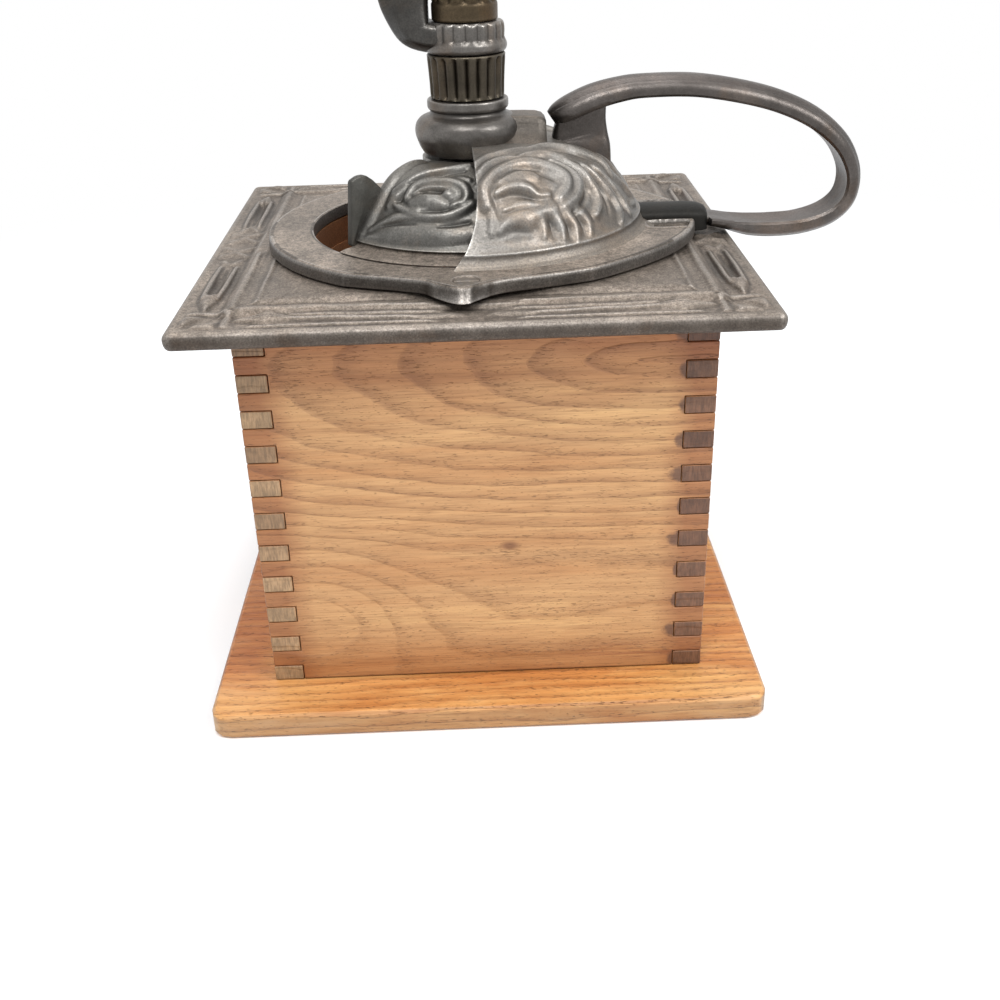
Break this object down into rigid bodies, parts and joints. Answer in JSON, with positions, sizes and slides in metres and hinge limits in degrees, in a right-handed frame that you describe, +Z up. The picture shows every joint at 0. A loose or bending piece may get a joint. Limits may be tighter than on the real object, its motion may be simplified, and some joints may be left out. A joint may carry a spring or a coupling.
{
  "type": "manual coffee grinder",
  "caption": "Box jointed wooden hand mill with a cast iron dome hopper, turning shutter, crank, side handle, adjustable burrs and a drawer that catches the ground coffee.",
  "frame": {"origin": "centre of the base board's underside, on the crank's axis", "axes": "+Z up along the spindle, +X towards the side handle, +Y towards the drawer's face; the box face that the picture shows looks along -Y"},
  "size_m": [0.2757, 0.1995, 0.3158],
  "materials": {
    "base_board": "oiled",
    "box_front": "oiled, worn",
    "box_back": "oiled, worn",
    "box_left": "oiled, worn",
    "box_right": "oiled, worn",
    "drawer_guide_left": "oiled, worn",
    "drawer_guide_right": "oiled, worn",
    "drawer_front": "oiled, worn",
    "drawer_side_left": "oiled, worn",
    "drawer_side_right": "oiled, worn",
    "drawer_back": "oiled, worn",
    "drawer_bottom": "oiled, worn",
    "drawer_knob": "dark stained",
    "crank_knob": "dark stained",
    "top_plate": "dark aged iron",
    "hopper_canopy": "dark aged iron",
    "shutter": "dark aged iron",
    "bridge": "dark aged iron",
    "crank_arm": "dark aged iron",
    "side_handle": "dark aged iron",
    "regulator_nut": "dark aged iron",
    "hopper_bowl": "lightly rusted",
    "cap_nut": "brown, worn",
    "base_screw_1": "dull steel",
    "base_screw_2": "dull steel",
    "base_screw_3": "dull steel",
    "base_screw_4": "dull steel",
    "canopy_screw_front": "dull steel",
    "canopy_screw_back": "dull steel",
    "bridge_screw_left": "dull steel",
    "bridge_screw_right": "dull steel",
    "handle_screw": "dull steel",
    "drawer_knob_screw": "dull steel",
    "outer_burr": "dull steel",
    "inner_burr": "dull steel",
    "spindle": "dull steel",
    "burr_pin": "dull steel",
    "knob_pin": "dull steel"
  },
  "bodies": {
    "mill": {"base_board": "base_board", "base_screw_1": "base_screw_1", "base_screw_2": "base_screw_2", "base_screw_3": "base_screw_3", "base_screw_4": "base_screw_4", "box_front": "box_front", "box_back": "box_back", "box_left": "box_left", "box_right": "box_right", "drawer_guide_left": "drawer_guide_left", "drawer_guide_right": "drawer_guide_right", "top_plate": "top_plate", "hopper_canopy": "hopper_canopy", "canopy_screw_front": "canopy_screw_front", "canopy_screw_back": "canopy_screw_back", "hopper_bowl": "hopper_bowl", "outer_burr": "outer_burr", "bridge": "bridge", "bridge_screw_left": "bridge_screw_left", "bridge_screw_right": "bridge_screw_right", "side_handle": "side_handle", "handle_screw": "handle_screw"},
    "crank": {"crank_arm": "crank_arm", "cap_nut": "cap_nut", "knob_pin": "knob_pin"},
    "regulator": {"regulator_nut": "regulator_nut"},
    "grinding_spindle": {"spindle": "spindle", "inner_burr": "inner_burr", "burr_pin": "burr_pin"},
    "knob": {"crank_knob": "crank_knob"},
    "hopper_shutter": {"shutter": "shutter"},
    "drawer": {"drawer_front": "drawer_front", "drawer_side_left": "drawer_side_left", "drawer_side_right": "drawer_side_right", "drawer_back": "drawer_back", "drawer_bottom": "drawer_bottom", "drawer_knob": "drawer_knob", "drawer_knob_screw": "drawer_knob_screw"}
  },
  "joints": [
    {"name": "crank_turn", "type": "hinge", "parent": "mill", "child": "crank", "pos_m": [0, 0, 0.217], "axis": [0, 0, 1], "continuous": true},
    {"name": "regulator_turn", "type": "hinge", "parent": "crank", "child": "regulator", "pos_m": [0, 0, 0.2094], "axis": [0, 0, 1], "range_deg": [-180, 180]},
    {"name": "burr_lift", "type": "slide", "parent": "crank", "child": "grinding_spindle", "axis": [0, 0, 1], "range_m": [-0.00063, 0.00063]},
    {"name": "knob_spin", "type": "hinge", "parent": "crank", "child": "knob", "pos_m": [-0.118, 0, 0.2738], "axis": [0, 0, 1], "continuous": true},
    {"name": "shutter_turn", "type": "hinge", "parent": "mill", "child": "hopper_shutter", "pos_m": [0, 0, 0.1832], "axis": [0, 0, 1], "range_deg": [-126, 47]},
    {"name": "drawer_slide", "type": "slide", "parent": "mill", "child": "drawer", "axis": [0, 1, 0], "range_m": [0, 0.1]}
  ],
  "couplings": [
    {"joint": "regulator_turn", "follows": "burr_lift", "rad_per_m": -4947.4}
  ]
}
